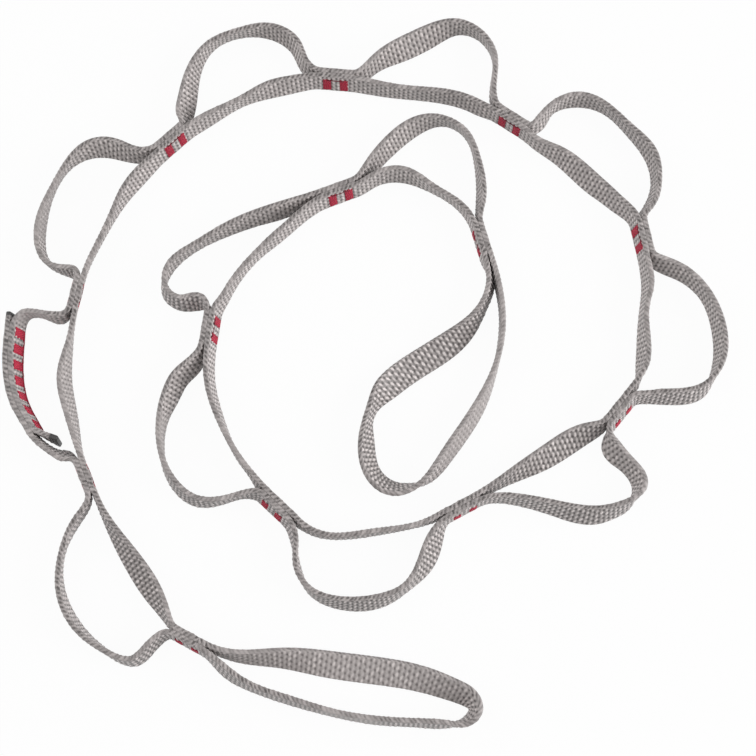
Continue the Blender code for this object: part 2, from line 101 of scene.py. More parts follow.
OUTER_ROUTES = {
    1: [(-84.6, -118.3, -12), (-92.6, -125.6, -13), (-104, -122, -6), (-117, -111, 3), (-124, -96, -3),
        (-123.2, -80, -8), (-117, -67, -2)],
    3: [(-129.8, 38.3, 0), (-137.5, 44.2, 2), (-139.3, 56, 3), (-135, 73.5, -12), (-125, 89, 0),
        (-118, 92.8, 18), (-111, 93.3, 26), (-103.9, 91.3, 21), (-98, 89.8, 12)],
    4: [(-78.6, 107.7, 24), (-78, 113.3, 30), (-75.5, 127, 16), (-67.5, 141, -6), (-55, 146.8, -10),
        (-41, 147.3, 7), (-30.2, 140, 14), (-25.6, 130.5, 10)],
    5: [(3.5, 131, 11), (16, 139, 36), (30, 146, 32), (42, 149.5, 4), (52, 145, -7),
        (57.5, 135, -5), (56.5, 120, 1)],
    6: [(76, 104, 11), (81.5, 110.8, 4), (92, 115.3, 6), (104, 112.4, -3), (115.8, 101.4, -3),
        (124.8, 89.5, 8), (126.5, 77, 5), (122.6, 66, 10)],
    7: [(127.3, 40.8, 13), (135.9, 36.7, 12), (144.8, 28.3, 4), (150.3, 14, 9), (150.2, -1, 7),
        (147.4, -8, -3), (142.7, -14, -18), (130, -17, -19), (123.5, -17, -16), (117.8, -17.3, -11)],
    8: [(103, -37.5, 25), (109, -45, 22), (114.5, -54, 17), (109.5, -62, -13), (103.2, -65, -22),
        (97, -66.5, -29), (80, -64, -21), (64, -60.3, -11)],
    9: [(30.5, -74, -24), (26.2, -84.9, -34), (17.5, -96, -10), (11.5, -99.8, -15), (5, -102, -21),
        (-9, -102.5, -18), (-21.5, -97.5, -7), (-27.5, -86, 2), (-28.6, -76, -12)],
    10: [(-48, -58, -5), (-58, -60.4, -2), (-69, -60.8, -12), (-79, -53, -13), (-84.5, -39, -3),
         (-83.7, -24, 12), (-81, -16.2, 25), (-77.5, -9, 27), (-73, -4.5, 24)],
    11: [(-68.8, 23.8, -16), (-77, 23.5, -16), (-84.5, 28.5, -13), (-83.7, 38, -1), (-73.4, 47.9, -4),
         (-57.5, 56.8, 6), (-45, 61.8, 13), (-39, 63.7, 16)],
    12: [(1.5, 82.5, 14), (12, 95, 24), (24, 103.8, 16), (34.5, 105.5, -5), (44.5, 99.5, -8),
         (49, 88, -1), (50.7, 74, 9), (50.2, 66.5, 8)],
}
OUTER_LOOP_ROUTE = [
    (-52, -123.5, 18), (-33, -124.5, 39), (-14, -127, 64), (5, -129.5, 69), (23.5, -132.8, 60),
    (37.7, -137.6, 45), (42.6, -140.2, 36), (45.2, -144.4, 19), (41.6, -149.3, 8), (34.8, -150.5, -8),
    (21, -149.9, -12), (8, -149.2, -12), (-12, -146, -10), (-31, -140.7, -13), (-46.3, -135.3, -14),
    (-52.4, -132, -18), (-57.2, -128.3, -18),
]
INNER_LOOP_ROUTE = [
    (54, 34, -12), (51.6, 24, -10), (44, 12.5, -32), (30, 2, -72), (15, -8, -72), (8.9, -13.8, -50),
    (4.6, -19.8, -20), (1.9, -26.7, -12), (1.2, -34, -25), (3.5, -48.5, -32), (7.6, -53.4, -33),
    (13, -55.7, -28), (19.5, -55.1, -15), (24.5, -53, 1), (34.5, -42, 21), (42.2, -31.1, 23),
    (49.3, -19.5, 18), (54.6, -7, 6), (58.2, 8, 0), (58.6, 22, 1), (56.6, 34, 0),
]
SPLICE_ROUTE = [
    (-137.3, -32, 2), (-144.2, -20.2, 5), (-147.3, -9, 8), (-148, 2, 10), (-147.6, 14, 9),
]
SPLICE_FROM_TACK_2 = [(-121.7, -43.2, 9), (-124.8, -41.9, 20), (-128, -40.8, 12), (-133, -37.9, 5)]
SPLICE_TO_TACK_3 = [
    (-143.7, 18.3, 1), (-138, 18.8, -3), (-133, 17.5, 3), (-129.8, 17, 6), (-126.6, 18.2, -3),
]
SPLICE_INNER_TAIL = [(-126.9, -36.1, -8), (-132.4, -33.7, -2)]
SPLICE_OUTER_TAIL = [(-149, 18.6, 6)]
SPLICE_CONTROL_STEP = 4.0

# The pocket that carries the rest, the one with no outer strand of its own, and the middle of the lay
MIDDLE_POCKET = (len(TACKS) + 1) // 2
SPLICED_POCKET = min(set(INNER_ROUTES) - set(OUTER_ROUTES))
LAY_MIDDLE = (-0.4, -0.5)

# The tacks and the splice
TACK_LENGTH = 14.0
BAR_SPACING = 7.4
LAYER_GAP = 0.3
SPLICE_BARS = 7
SPLICE_FIRST_BAR = 2.4
SPLICE_BAR_SPACING = 7.0

# How finely the surfaces are cut
LINE_STEP = 0.1
RINGS_PER_GRAIN = 6
FACE_STEPS = 32
EDGE_STEPS = 10
THREAD_SIDES = 6
RINGS_PER_PASS = 6
# Start of the random draws
SEED = 12

# The section: how much of the relief its outline lies under half the thickness, and how much of it stands
# above the outline, on a face and on an edge
FACE_SUNK = 0.25
GRAIN_ABOVE = 0.55
BEAD_ABOVE = 0.4
# Power of the superellipse that rounds the section's edge: 2 is a circle, more is squarer
EDGE_POWER = 3.0
# Turn of the section's edge over which the grains of a face give way to beads, in degrees
BEAD_START = 8.0
BEAD_FULL = 40.0

# The weave: a grain's half sizes and a gap's, in parts of the pitch along and the length across
GRAIN_HALF = (0.27, 0.37)
GAP_HALF = (0.24, 0.22)
# Lean of a grain, and how far the gap at its end stands aside, in parts of the pitch
GRAIN_LEAN = 0.28
GAP_ASIDE = 0.45
# Height of the plain weave between the grains, and of the rib that a row of grains stands on, with half
# the rib's width in parts of the pitch
GROUND_LEVEL = 0.42
RIB_LEVEL = 0.64
RIB_HALF = 0.4
# How much lower the lowest grain is than the highest
GRAIN_UNEVEN = 0.22
# Painted shade in the hollows: how strongly the height of the weave darkens a face, and the beads an edge,
# whose crown is also darker where the yarn lies tighter
FACE_TONE = 0.93
EDGE_TONE = 0.57

# The beads of an edge: their relief against that of the grains, and how much they differ
EDGE_RELIEF = 0.6
RIDGE_UNEVEN = 0.2
# How many pitches the grooves between them move on from the left face to the right one
EDGE_SLANT = 1.5
# Depth of the grooves at the shoulder and on the crown of an edge, and the power of their wave
SHOULDER_DEPTH = 0.18
CROWN_DEPTH = 1.25
GROOVE_POWER = 1.3
# Half the length of a groove's deep part, how far it stands aside and how much its depth differs
DASH_HALF = 0.62
DASH_ASIDE = 0.8
DASH_UNEVEN = 0.45
# Stretches where the beads lie quieter: how long, the mottle from which and to which they do, and how much
# of a groove's depth they lose
QUIET_SIZE = 24.0
QUIET_FROM = 0.25
QUIET_FULL = 0.75
QUIET_DEPTH = 0.55

# Patches in which the weave runs ahead or behind: their size, the way over which they fade at the ends, and
# how far it runs on a face and on an edge, in parts of the pitch
WANDER_SIZE = 1.3
WANDER_FADE = 2.0
FACE_WANDER = 0.22
EDGE_WANDER = 0.42
# The random shares that grains, beads and patches draw from, and the strides by which each kind picks its own
SHARE_COUNT = 997
GRAIN_STRIDES = (7, 31)
LEFT_FACE_STRIDE = 300
PATCH_STRIDES = (57, 131)
BEAD_STRIDE = 13
ASIDE_STRIDE = 17
DEPTH_STRIDE = 29

# Worn stretches, where fuzz evens out the weave: from and to along the piece, and the share that goes
WORN_STRETCHES = {
    "inner_loop_webbing": [(150, 240, 0.6)],
    "outer_loop_webbing": [(6, 112, 0.4), (155, 186, 0.6)],
    "pocket_02_inner_webbing": [(18, 72, 0.4)],
    "pocket_03_outer_webbing": [(33, 73, 0.6)],
    "pocket_05_outer_webbing": [(80, 97, 0.6)],
    "pocket_09_outer_webbing": [(73, 89, 0.5)],
    "pocket_10_inner_webbing": [(12, 40, 0.6)],
    "pocket_10_outer_webbing": [(44, 76, 0.6)],
    "pocket_12_outer_webbing": [(58, 79, 0.5)],
    "splice_inner_webbing": [(55, 78, 0.6)],
}
WORN_FADE = 6.0
# What full wear takes of the relief, and the height whose colour it gives the weave
WORN_RELIEF = 0.5
WORN_LEVEL = 0.5

# The two free ends, cut with a hot knife: rounding, how far each is seared, and how much relief that takes
FREE_END_ROUND = 0.6
FREE_END_RINGS = 6
SEAR_LENGTHS = {"splice_outer_webbing": 2.0, "splice_inner_webbing": 3.6}
SEAR_FADE = 0.7
SEAR_FLATTENS = 0.85
# The seared band's level, between a dark rim at the cut and one where it ends
SEAR_RIM = 0.45
SEAR_BAND = 0.86

# How far the bars of stitches press the webbing in, to what distance, and how soon that ends
PINCH_DEPTH = 0.3
PINCH_REACH = 1.7
PINCH_FADE = 1.0
# Round a bar the two layers are drawn together: how far from it and how soon that ends, the part of the
# edge's radius over which they open, how far they overlap, and the way over which their lift fades
SEWN_REACH = 4.6
SEWN_FADE = 1.4
SEWN_RAMP = 0.12
SEWN_OVERLAP = 0.03
FLUSH_FADE = 6.0
# How far a point of the section turns to a face to count as part of it
FACING = 0.1

# A bar: how far under and over the middle of the webbing it ends, and the tacks where it ends lower
BAR_BOTTOM = 4.9
BAR_TOP = 4.3
LOW_TOPS = {1: 0.8, 2: 1.0, 3: 1.0, 5: 3.2, 6: 4.0, 8: -0.6, 9: 0.2, 10: 1.6, 11: 3.4, 13: 1.0}
# The share of painted shade in the colour of a tack's bars, for the crease they lie in and their faces turned
# from the light
TACK_PAINTED_SHADE = 0.22
# Its straight threads: how many, points along each, height over the pressed face, width in thread radii,
# and how many radii the outermost keep clear of the bar's sides together
FIRST_THREADS = 5
FIRST_POINTS = 24
FIRST_LIFT = 0.05
FIRST_WIDTH = 1.3
FIRST_INSET = 3
# Its zigzag: height over the pressed face, depth under it at the corners, how suddenly it dives and how
# sharply it turns there, how flat its thread is, and how uneven the passes are in place and in height
PASS_LIFT = 0.21
PASS_SINK = 0.3
END_SHARPNESS = 12
PASS_SHARPNESS = 0.98
PASS_FLATNESS = 0.85
UNEVEN_STITCH = 0.12
UNEVEN_LIFT = 0.3
# Threads from bar to bar: how far inside the bar's end, points along each, how far apart, the arch of the
# first of them across the webbing and of each off it, over a small height, their width and how many
JUMP_INSET = 0.4
JUMP_POINTS = 12
JUMP_PITCH = 0.3
JUMP_SLACK = 0.25
JUMP_ARCH = 0.1
JUMP_LIFT = 0.02
JUMP_WIDTH = 0.8
JUMP_THREADS = 2
# How much thicker they are at a tack and on the splice, where one leads up to the first bar, and the share of
# painted shade that darkens them
TACK_JUMPS = {"thicker": 1.0, "sunk": 0.75}
SPLICE_JUMPS = {"thicker": 1.5, "sunk": 0.3}
SPLICE_TAIL = 3.0
# Points by which a thread follows the section's rounded edge
EDGE_POINTS = 31

# The stage: camera, floor, how much of the card's light is its own, and each lamp's place and size
CAMERA_SENSOR = 36.0
CAMERA_AIM = (6.4, -8.5, 6.0)
FLOOR_SIZE = 8.0
FLOOR_DEPTH = 0.05
CARD_GLOW = 0.955
LAMPS = {"right": ((1.25, -0.12, 0.65), 1.0), "left": ((-0.95, 0.2, 0.85), 1.6)}


def linear(code):
    """A hex colour as linear red, green and blue, by the sRGB curve."""
    parts = np.array([int(code[i : i + 2], 16) for i in (1, 3, 5)]) / 255
    curved = np.where(parts <= 0.04045, parts / 12.92, ((parts + 0.055) / 1.055) ** 2.4)
    return tuple(float(c) for c in curved)


def length_setting(label, description, default):
    """A length, in metres."""
    return bpy.props.FloatProperty(name=label, description=description, default=default, unit="LENGTH")


def number_setting(label, description, default):
    """A plain number."""
    return bpy.props.FloatProperty(name=label, description=description, default=default)


def colour_setting(label, description, code):
    """A colour, given as a hex code."""
    return bpy.props.FloatVectorProperty(
        name=label, description=description, default=linear(code), subtype="COLOR"
    )


class WebbingSettings(bpy.types.PropertyGroup):
    """Sizes and colours of the webbing"""

    width: length_setting("Width", "Across the webbing, from edge to edge", 0.012)
    thickness: length_setting("Thickness", "From face to face, part way up the grains", 0.0024)
    grain_pitch: length_setting("Grain pitch", "Along the webbing, from one row of grains to the next", 0.002)
    grain_length: length_setting(
        "Grain length", "Across the webbing, from one grain to the next in its row", 0.003
    )
    relief: length_setting("Relief", "From the crown of a grain to the gap beside it", 0.00045)
    crown: colour_setting("Crown", "Colour of the yarn on a grain", "#D6CECC")
    # Painted shade: the dark that the hollows of the weave take on
    gap: colour_setting("Gap", "Colour deep between the grains", "#4A4544")
    seared: colour_setting("Seared end", "Colour where the hot knife melted the yarn", "#22201F")


class ThreadSettings(bpy.types.PropertyGroup):
    """Sizes and colours of the thread"""

    diameter: length_setting("Thread", "Across one thread as it lies in a bar", 0.00042)
    stitch: length_setting("Stitch pitch", "Across the webbing, from one pass to the next", 0.00036)
    tack_width: length_setting("Tack bar", "Width of a bar of a tack", 0.0037)
    splice_width: length_setting("Splice bar", "Width of a bar of the splice", 0.0043)
    colour: colour_setting("Thread colour", "Colour of the thread", "#D83450")
    # Painted shade in the grooves between the plies of the twist
    painted_ply_shade: colour_setting("Between plies", "Colour in the twist of the thread", "#8C1E36")
    # Painted shade: the colour that threads deep in a crease, and bars turned from the light, darken to
    sunk: colour_setting("Thread in a crease", "Dark from dirt and from the webbing over it", "#200A10")


class StageSettings(bpy.types.PropertyGroup):
    """Camera, light and floor"""

    focal_length: number_setting("Focal length", "Of the camera's lens, in millimetres", 64.29)
    distance: length_setting("Distance", "From the camera to what it looks at", 0.5684)
    elevation: bpy.props.FloatProperty(
        name="Elevation", description="Of the camera above the ground", default=math.radians(79),
        subtype="ANGLE",
    )
    sky: number_setting("Sky", "Level of the even light from all round", 0.48)
    right: number_setting("Right lamp", "Power of the soft lamp on the right, in watts", 16.0)
    left: number_setting("Left lamp", "Power of the larger soft lamp on the left, in watts", 8.0)
    floor: colour_setting("Floor", "Colour of the floor", "#DEDEDE")


def unit(degrees):
    """The direction at an angle, as x and y."""
    angle = np.radians(degrees)
    return np.stack([np.cos(angle), np.sin(angle)], axis=-1)


def half_joint():
    """From the middle of one layer to the line between two layers, in millimetres."""
    return (bpy.context.scene.chain_webbing.thickness / MM + LAYER_GAP) / 2


def beside(point, heading, lean, side):
    """A row on one layer of two: a point moved sideways by half their pitch over the cosine of the lean."""
    offset = side * half_joint() / math.cos(math.radians(lean))
    return np.array([*(np.array(point) + unit(heading + 90) * offset), lean])


def tack_row(number, reach, side=0):
    """A row in a tack, as x, y and lean: reach runs along its heading from its middle, side is its layer."""
    x, y, heading, lean = TACKS[number]
    return beside(np.array([x, y]) + unit(heading) * reach, heading, lean, side)


def hinge_end(number):
    """The edge that a tack bends at, which faces away from the middle pocket."""
    return -1 if number <= MIDDLE_POCKET else 1


def carrier(tack):
    """The body that a tack rides on."""
    return f"pocket_{tack if tack <= MIDDLE_POCKET else tack - 1:02d}"


def flowing(points, start_heading=None, finish_heading=None):
    """Fine rows of x, y and lean on a cubic through the points, over the way along their chords.

    On each span the curve is p0 (1+2t)(1-t)^2 + p1 t^2 (3-2t) + span (s0 t (1-t)^2 - s1 t^2 (1-t)). The
    slopes s make the second derivative continuous, and are the headings at the two ends.
    """
    points = np.array(points, float)
    chords = np.diff(points[:, :2], axis=0)
    spans = np.hypot(*chords.T)
    lengths = np.concatenate([[0], np.cumsum(spans)])
    angles = np.degrees(np.arctan2(*chords.T[::-1]))
    start = angles[0] if start_heading is None else start_heading
    finish = angles[-1] if finish_heading is None else finish_heading
    count = len(points)
    inside = np.arange(1, count - 1)
    before, after = spans[:-1], spans[1:]
    matrix = np.eye(count)
    matrix[inside, inside - 1], matrix[inside, inside], matrix[inside, inside + 1] = (
        after, 2 * (before + after), before
    )
    steps = np.diff(points, axis=0)
    right = np.zeros_like(points)
    right[1:-1] = 3 * ((after / before)[:, None] * steps[:-1] + (before / after)[:, None] * steps[1:])
    right[0], right[-1] = (*unit(start), 0), (*unit(finish), 0)
    slopes = np.linalg.solve(matrix, right)
    where = np.linspace(0, lengths[-1], round(lengths[-1] / LINE_STEP) + 1)
    i = np.clip(np.searchsorted(lengths, where, side="right") - 1, 0, count - 2)
    span = spans[i][:, None]
    t = ((where - lengths[i]) / spans[i])[:, None]
    return (
        points[i] * (1 + 2 * t) * (1 - t) ** 2
        + points[i + 1] * t**2 * (3 - 2 * t)
        + slopes[i] * span * t * (1 - t) ** 2
        - slopes[i + 1] * span * t**2 * (1 - t)
    )


class Line:
    """A line of rows on the ground, measured by the way along it."""

    def __init__(self, *parts):
        rows = np.vstack(parts)
        steps = np.hypot(*np.diff(rows[:, :2], axis=0).T)
        apart = steps > LINE_STEP / 100
        self.rows = rows[np.concatenate([[True], apart])]
        self.travelled = np.concatenate([[0], np.cumsum(steps[apart])])
        self.length = self.travelled[-1]

    def at(self, where):
        """Rows at places along the line, straight between its own rows."""
        return np.stack([np.interp(where, self.travelled, column) for column in self.rows.T], axis=-1)

    def headings(self, where):
        """The angle from a little before each place to a little after it."""
        reach = 2 * LINE_STEP
        ahead = self.at(np.clip(where + reach, 0, self.length))
        behind = self.at(np.clip(where - reach, 0, self.length))
        step = ahead - behind
        return np.degrees(np.arctan2(step[..., 1], step[..., 0]))

    def frames(self, where):
        """Middle of the webbing, and the directions through it to the left and up its width.

        The lean turns left and up about the way along. The middle is as high as lets the lower edge
        touch the ground: the flat's half times the cosine of the lean, and the superellipse's own reach
        downwards, which is its radius times (cos^d + sin^d)^(1/d), d being its power over one less.
        """
        rows = self.at(where)
        left = np.pad(unit(self.headings(where) + 90), ((0, 0), (0, 1)))
        lean = np.radians(rows[:, 2:])
        upright = np.array([0, 0, 1])
        straight, over_beads, _ = section_sizes()
        power = EDGE_POWER / (EDGE_POWER - 1)
        reach = (np.cos(lean) ** power + np.abs(np.sin(lean)) ** power) ** (1 / power)
        middle = np.column_stack([rows[:, :2], straight * np.cos(lean) + over_beads * reach])
        through = left * np.cos(lean) - upright * np.sin(lean)
        return middle, through, left * np.sin(lean) + upright * np.cos(lean)


def section_sizes():
    """Half the flat of the section, the radius of its edge over the beads, and that of its edge alone."""
    web = bpy.context.scene.chain_webbing
    half_width, half_thickness = web.width / MM / 2, web.thickness / MM / 2
    radius = half_thickness - web.relief / MM * FACE_SUNK
    over_beads = radius + web.relief / MM * BEAD_ABOVE
    return half_width - over_beads, over_beads, radius


def smooth_step(value):
    """0 below 0, 1 above 1 and 3t^2 - 2t^3 between."""
    t = np.clip(value, 0, 1)
    return t * t * (3 - 2 * t)


def mottle(u, v, share):
    """Smooth noise from 0 to 1: random shares on a grid of whole u and v, joined by 3t^2 - 2t^3."""
    corner_u, corner_v = np.floor(u).astype(int), np.floor(v).astype(int)
    part_u, part_v = smooth_step(u - corner_u), smooth_step(v - corner_v)
    value = 0.0
    for du, weight_u in ((0, 1 - part_u), (1, part_u)):
        for dv, weight_v in ((0, 1 - part_v), (1, part_v)):
            number = (corner_u + du) * PATCH_STRIDES[0] + (corner_v + dv) * PATCH_STRIDES[1]
            value = value + share[number % len(share)] * weight_u * weight_v
    return value


def edge_outline(turn):
    """The section's edge over its flat, from the face at 0 degrees to the crown at 90.

    A superellipse: radius times cosine and sine, each to the power 2/n. Returns the depth from the
    webbing's middle plane with the height over the flat, and the direction outwards.
    """
    wave = np.clip(unit(turn), 0, 1)
    power = 2 / EDGE_POWER
    outward = wave ** (2 - power)
    return wave**power * section_sizes()[2], outward / np.linalg.norm(outward, axis=-1, keepdims=True)


class Section:
    """The webbing's section, round from the middle of its lower edge by its left face: a flat-sided oval."""

    def __init__(self):
        straight = section_sizes()[0]
        quarter = np.linspace(0, 90, EDGE_STEPS // 2 + 1)
        edge, edge_outward = edge_outline(quarter)
        flat = np.linspace(-straight, straight, FACE_STEPS + 1)[1:-1]
        depth = np.concatenate([edge[::-1, 0], np.full(len(flat), edge[0, 0]), edge[:, 0]])
        height = np.concatenate([-edge[::-1, 1] - straight, flat, edge[:, 1] + straight])
        outward = np.concatenate([
            edge_outward[::-1] * (1, -1), np.tile([1.0, 0.0], (len(flat), 1)), edge_outward
        ])
        half = np.stack([depth, height], axis=-1)
        # The right half is the left one mirrored, without the two points on the crowns
        self.points = np.concatenate([half, (half * (-1, 1))[-2:0:-1]])
        self.outward = np.concatenate([outward, (outward * (-1, 1))[-2:0:-1]])
        around = np.hypot(*np.diff(np.vstack([self.points, self.points[:1]]), axis=0).T)
        self.travelled = np.concatenate([[0], np.cumsum(around)])
        self.left = np.arange(len(self.points)) < len(half)
        way = np.concatenate([[0], np.cumsum(np.hypot(*np.diff(half, axis=0).T))])
        way -= way[-1] / 2
        self.height = np.concatenate([way, way[-2:0:-1]])
        turned = np.degrees(np.arctan2(np.abs(self.outward[:, 1]), np.abs(self.outward[:, 0])))
        self.edge_share = smooth_step((turned - BEAD_START) / (BEAD_FULL - BEAD_START))
        # The way from the middle of the crown, less than 0 on the left, and the same from 0 to 1
        from_crown = way[-1] - np.abs(self.height)
        self.from_crown = np.where(self.left, -from_crown, from_crown)
        self.across_edge = np.clip(0.5 + self.from_crown / (way[-1] - straight) / 2, 0, 1)

    def blend(self, on_face, on_edge):
        """A value of the faces that gives way to one of the edges, by the share of the edge."""
        return on_face * (1 - self.edge_share) + on_edge * self.edge_share


def weave(x, height, hand, pitch, length):
    """Height of the weave on a face, from 0 in a gap to 1 on a grain, and a number for each grain.

    Grains stand in rows one pitch apart along the webbing. In a row they follow each other at one
    length across it, and each row is moved on by a third of that, upwards along the webbing for hand 1.
    A grain is the root of 1 - u^2 - q^2 in its own half sizes, the rib under a row is 1 - u^2, and the
    gap at the end of a grain is a bell curve.
    """
    grain = np.zeros(np.broadcast(x, height).shape)
    number = np.zeros(grain.shape)
    gap = np.zeros(grain.shape)
    rib = np.zeros(grain.shape)
    for step in (-1, 0, 1):
        row = np.round(x / pitch) + step
        place = height / length - hand * row / 3
        q = place - np.round(place)
        u = x / pitch - row + GRAIN_LEAN * hand * q
        dome = np.sqrt(np.clip(1 - (u / GRAIN_HALF[0]) ** 2 - (q / GRAIN_HALF[1]) ** 2, 0, 1))
        named = row * GRAIN_STRIDES[0] + np.round(place) * GRAIN_STRIDES[1]
        number = np.where(dome > grain, named, number)
        grain = np.maximum(grain, dome)
        rib = np.maximum(rib, 1 - (u / RIB_HALF) ** 2)
        end = np.abs(q) - 0.5
        aside = x / pitch - row + hand * GAP_ASIDE
        gap = np.maximum(gap, np.exp(-((aside / GAP_HALF[0]) ** 2) - (end / GAP_HALF[1]) ** 2))
    ground = (GROUND_LEVEL + (RIB_LEVEL - GROUND_LEVEL) * rib) * (1 - gap)
    return ground + (1 - ground) * grain, number


def beads(x, pitch, hand, section, share):
    """Height of the beads of an edge, and a share for each: the grooves move on from face to face.

    Across its groove the height is a cosine wave to a power. Along it the depth is a bell curve, whose
    middle and depth differ from groove to groove by the random share of each.
    """
    place = x / pitch + hand * EDGE_SLANT * section.across_edge
    wave = (0.5 - 0.5 * np.cos(2 * np.pi * place)) ** GROOVE_POWER
    groove, bead = np.floor(place).astype(int), np.round(place).astype(int)
    aside = DASH_ASIDE * (share[groove * ASIDE_STRIDE % len(share)] - 0.5)
    deepest = CROWN_DEPTH * (1 - DASH_UNEVEN * share[groove * DEPTH_STRIDE % len(share)])
    patches = mottle(x / QUIET_SIZE, np.zeros_like(x), share)
    quiet = smooth_step((patches - QUIET_FROM) / (QUIET_FULL - QUIET_FROM))
    deepest = deepest * (1 - QUIET_DEPTH * quiet)
    dash = np.exp(-(((section.from_crown - aside) / DASH_HALF) ** 2))
    depth = SHOULDER_DEPTH + (deepest - SHOULDER_DEPTH) * dash
    chance = share[bead * BEAD_STRIDE % len(share)]
    return (1 - depth * wave) * (1 - RIDGE_UNEVEN * chance), chance


def worn_shares(name, where):
    """How much of the weave fuzz evens out at places along a piece, faded in and out by smooth steps."""
    worn = np.zeros_like(where)
    for begin, finish, most in WORN_STRETCHES.get(name, ()):
        worn += most * smooth_step((where - begin) / WORN_FADE) * smooth_step((finish - where) / WORN_FADE)
    return worn


def seared_shares(name, from_end):
    """How far the yarn is melted, as a smooth step from a free end, and how dark, with a rim at each end."""
    past = from_end - SEAR_LENGTHS[name] + SEAR_FADE
    melted = 1 - smooth_step(past / SEAR_FADE)
    rim = np.exp(-((past / SEAR_RIM) ** 2)) + np.exp(-((from_end / SEAR_RIM) ** 2))
    return melted, melted * (SEAR_BAND + (1 - SEAR_BAND) * np.minimum(rim, 1))


def sewn(section, line, where, bars, across, upward):
    """What bars of stitches do to the section: each point's new way across, and the lift of each ring.

    Over the width of a bar its face is pressed in. Round the bar the other face closes on the next layer.
    The lower layer is raised until the two are flush: by half the joint times the tangent of the lean on
    each side.
    """
    straight, _, radius = section_sizes()
    slope = np.tan(np.radians(line.at(where)[:, 2]))
    under_edge = straight + radius - np.abs(upward)
    lift = np.zeros_like(where)
    for face in sorted({face for _, face in bars}, reverse=True):
        places = np.array([place for place, bar_face in bars if bar_face == face])
        apart = np.abs(where[:, None] - places).min(axis=1)[:, None]
        facing = section.outward[:, 0] * face
        pinch = 1 - smooth_step((apart - PINCH_REACH) / PINCH_FADE)
        body = smooth_step(under_edge / radius)
        across = across - face * PINCH_DEPTH * pinch * body * (facing > FACING)
        drawn = smooth_step((SEWN_REACH - apart) / SEWN_FADE)
        filled = smooth_step(under_edge / (radius * SEWN_RAMP))
        partner = (facing < -FACING) * drawn * filled
        across = across + partner * (-face * (half_joint() + SEWN_OVERLAP) - across)
        flush = half_joint() * (np.abs(slope) - face * slope)
        lift += flush * smooth_step((SEWN_REACH + FLUSH_FADE - apart[:, 0]) / FLUSH_FADE)
    return across, lift


def webbing_piece(name, line, hand, phases, bars, free=None):
    """The webbing's section carried along a line, with the weave's relief pushed outwards from it.

    A place on the section moves outwards by the relief times the height of its grain or bead. Phases are
    the parts of a pitch at which the first and last ring stand, and bars are the stitches across it, as
    the way along and the face that they lie on. A free end is rounded by a quarter of a circle and loses
    its relief. Returns the piece and the middle of each ring.
    """
    web = bpy.context.scene.chain_webbing
    length, relief = web.grain_length / MM, web.relief / MM
    section = Section()
    rows = round(line.length / (web.grain_pitch / MM) - (phases[1] - phases[0])) + phases[1] - phases[0]
    pitch = line.length / rows
    where = np.linspace(0, line.length, round(rows * RINGS_PER_GRAIN) + 1)
    if free is not None:
        rounding = FREE_END_ROUND * (1 - np.cos(np.linspace(0, np.pi / 2, FREE_END_RINGS)))
        extra = rounding if free == 0 else line.length - rounding
        where = np.unique(np.concatenate([where, extra]))
    x = (where + phases[0] * pitch)[:, None]
    share = np.random.default_rng(SEED).random(SHARE_COUNT)
    from_ends = np.minimum(where, line.length - where)[:, None]
    wander = (mottle(x / WANDER_SIZE, section.travelled[:-1] / WANDER_SIZE, share) - 0.5) * pitch
    wander = wander * smooth_step(from_ends / WANDER_FADE)
    opposite = np.where(section.left, 0, pitch / 2)
    raised, number = weave(x + opposite + FACE_WANDER * wander, section.height, hand, pitch, length)
    chance = share[(number + LEFT_FACE_STRIDE * section.left).astype(int) % len(share)]
    raised = raised * (1 - GRAIN_UNEVEN * chance)
    ridge, ridge_chance = beads(x + EDGE_WANDER * wander, pitch, hand, section, share)
    height = section.blend(raised, ridge)
    above = section.blend(GRAIN_ABOVE, BEAD_ABOVE)
    strength = section.blend(relief, relief * EDGE_RELIEF)
    melted = sear = np.zeros_like(where)
    if free is not None:
        from_end = where if free == 0 else line.length - where
        melted, sear = seared_shares(name, from_end)
    remaining = 1 - SEAR_FLATTENS * melted
    worn = worn_shares(name, where)
    push = strength * (height - 1 + above) * (remaining - WORN_RELIEF * worn)[:, None]
    if free is not None:
        inside = np.clip(1 - from_end / FREE_END_ROUND, 0, 1)
        push = push - (FREE_END_ROUND * (1 - np.sqrt(1 - inside**2)))[:, None]
    across = section.points[:, 0] + section.outward[:, 0] * push
    upward = section.points[:, 1] + section.outward[:, 1] * push
    across, lift = sewn(section, line, where, bars, across, upward)
    middle, through, up = line.frames(where)
    middle = middle + up * lift[:, None]
    rings = middle[:, None] + through[:, None] * across[..., None] + up[:, None] * upward[..., None]
    level = section.blend(1 - FACE_TONE * (1 - raised), EDGE_TONE * ridge) * remaining[:, None]
    # The relief attribute carries painted shade: the material darkens the weave towards the gap colour as it
    # sinks
    attributes = {
        "relief": level + (WORN_LEVEL - level) * worn[:, None],
        "tone": section.blend(chance, ridge_chance),
        "sear": np.broadcast_to(sear[:, None], height.shape),
    }
    obj = skinned(name, [(rings, where, section.travelled, attributes)], woven_nylon())
    return obj, middle


